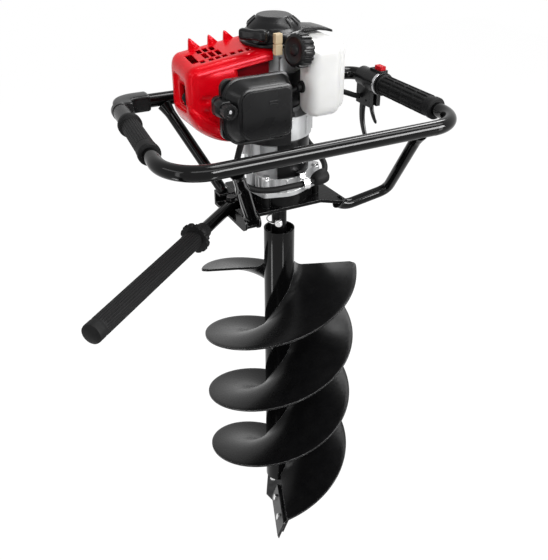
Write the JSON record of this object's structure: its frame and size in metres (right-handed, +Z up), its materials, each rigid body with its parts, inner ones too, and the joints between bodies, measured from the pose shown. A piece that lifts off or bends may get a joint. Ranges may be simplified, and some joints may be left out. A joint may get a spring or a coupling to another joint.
{
  "type": "earth auger",
  "caption": "Petrol earth auger: handle loop round an upright engine with reduction gear, and a double-flight soil bit with cutting blades.",
  "frame": {"origin": "tip of the pilot point, on the drilling axis", "axes": "+Z up the drilling axis, +X along the front bar to the operator grip with the throttle, -Y towards the front bar"},
  "size_m": [0.7191, 0.4679, 1.132],
  "materials": {
    "gloss_black": "gloss powder coat",
    "satin_black": "satin powder coat",
    "black_plastic": "fine moulded grain",
    "black_rubber": "matt rubber",
    "red_plastic": "gloss moulded",
    "tank_white": "translucent blow moulded",
    "cast_silver": "as cast",
    "bright_steel": "zinc plated",
    "gear_steel": "ground and oiled",
    "blade_steel": "blackened, worn edges",
    "switch_red": "gloss moulded",
    "cream_plastic": "moulded",
    "foam": "open-cell foam",
    "pulley_plastic": "moulded"
  },
  "bodies": {
    "frame": {"output_bearing": "gear_steel", "gearbox_lower": "satin_black", "gearbox_upper": "cast_silver", "gearbox_bolts": "bright_steel", "clutch_housing": "cast_silver", "fan_housing": "cast_silver", "crankcase": "cast_silver", "cylinder": "cast_silver", "spark_plug": "bright_steel", "plug_cap": "black_rubber", "muffler": "satin_black", "ignition_coil": "black_plastic", "engine_shroud": "red_plastic", "intake_block": "black_plastic", "carburettor": "cast_silver", "filter_base": "black_plastic", "filter_element": "foam", "filter_cover": "black_plastic", "starter_housing": "black_plastic", "recoil_spring": "gear_steel", "fuel_tank": "tank_white", "fuel_grommet": "black_rubber", "fuel_hose": "black_rubber", "tank_bracket": "satin_black", "wire_connector": "cream_plastic", "handle_loop": "gloss_black", "struts": "gloss_black", "base_plate": "satin_black", "corner_elbow": "black_plastic", "left_grip": "black_rubber", "right_grip": "black_rubber", "control_housing": "black_plastic", "throttle_cable": "black_rubber", "cable_clip": "bright_steel", "handle_channel": "satin_black"},
    "bit": {"bit_tube": "gloss_black", "bit_socket": "satin_black", "flight_a": "satin_black", "flight_b": "satin_black", "blade_holders": "satin_black", "cutting_blades": "blade_steel", "blade_bolts": "bright_steel", "pilot_point": "blade_steel", "pilot_bolts": "bright_steel", "cross_pin": "bright_steel", "pin_wire": "bright_steel", "output_shaft": "gear_steel", "output_gear": "gear_steel"},
    "countershaft": {"countershaft": "gear_steel"},
    "clutch_drum": {"clutch_drum": "gear_steel"},
    "crank": {"flywheel_fan": "cast_silver", "clutch_shoes": "gear_steel"},
    "starter_pulley": {"starter_pulley": "pulley_plastic"},
    "starter_handle": {"starter_handle": "black_plastic"},
    "throttle_lever": {"throttle_lever": "black_plastic"},
    "lock_lever": {"lock_lever": "black_plastic"},
    "stop_switch": {"stop_switch": "switch_red"},
    "fuel_cap": {"fuel_cap": "black_plastic"},
    "filter_knob": {"filter_knob": "black_plastic"},
    "support_handle": {"support_handle": "black_rubber"}
  },
  "joints": [
    {"name": "bit_spin", "type": "hinge", "parent": "frame", "child": "bit", "pos_m": [0, 0, 0.8], "axis": [0, 0, 1], "continuous": true},
    {"name": "countershaft_spin", "type": "hinge", "parent": "frame", "child": "countershaft", "pos_m": [0.03597, 0.01861, 0.84], "axis": [0, 0, 1], "continuous": true},
    {"name": "clutch_drum_spin", "type": "hinge", "parent": "frame", "child": "clutch_drum", "pos_m": [0, 0.02, 0.9], "axis": [0, 0, 1], "continuous": true},
    {"name": "crank_spin", "type": "hinge", "parent": "frame", "child": "crank", "pos_m": [0, 0.02, 0.95], "axis": [0, 0, 1], "continuous": true},
    {"name": "starter_pulley_spin", "type": "hinge", "parent": "frame", "child": "starter_pulley", "pos_m": [0, 0.02, 1.1], "axis": [0, 0, 1], "range_deg": [0, 942], "stiffness_Nm_per_rad": 0.01, "springref_deg": -572.96},
    {"name": "starter_pull", "type": "slide", "parent": "frame", "child": "starter_handle", "axis": [-0.7431, -0.6691, 0], "range_m": [0, 0.6]},
    {"name": "throttle_squeeze", "type": "hinge", "parent": "frame", "child": "throttle_lever", "pos_m": [0.263, 0.128, 0.926], "axis": [-1, 0, 0], "range_deg": [0, 25], "stiffness_Nm_per_rad": 0.3, "springref_deg": -11.46},
    {"name": "lock_press", "type": "hinge", "parent": "frame", "child": "lock_lever", "pos_m": [0.263, 0.104, 0.926], "axis": [-1, 0, 0], "range_deg": [0, 16], "stiffness_Nm_per_rad": 0.12, "springref_deg": -11.46},
    {"name": "stop_slide", "type": "slide", "parent": "frame", "child": "stop_switch", "axis": [0, 1, 0], "range_m": [0, 0.007]},
    {"name": "fuel_cap_turn", "type": "hinge", "parent": "frame", "child": "fuel_cap", "pos_m": [0.011, -0.066, 1.091], "axis": [-0.9686, -0.2059, 0.1392], "continuous": true},
    {"name": "filter_knob_turn", "type": "hinge", "parent": "frame", "child": "filter_knob", "pos_m": [-0.137, -0.0896, 1.023], "axis": [0, -1, 0], "continuous": true},
    {"name": "support_swing", "type": "hinge", "parent": "frame", "child": "support_handle", "pos_m": [-0.081, 0.034, 0.8], "axis": [0, 0, 1], "range_deg": [-45, 0]}
  ],
  "couplings": [
    {"joint": "countershaft_spin", "follows": "bit_spin", "ratio": -4.4},
    {"joint": "clutch_drum_spin", "follows": "bit_spin", "ratio": 27.28},
    {"joint": "starter_pull", "follows": "starter_pulley_spin", "m_per_rad": 0.0365}
  ]
}
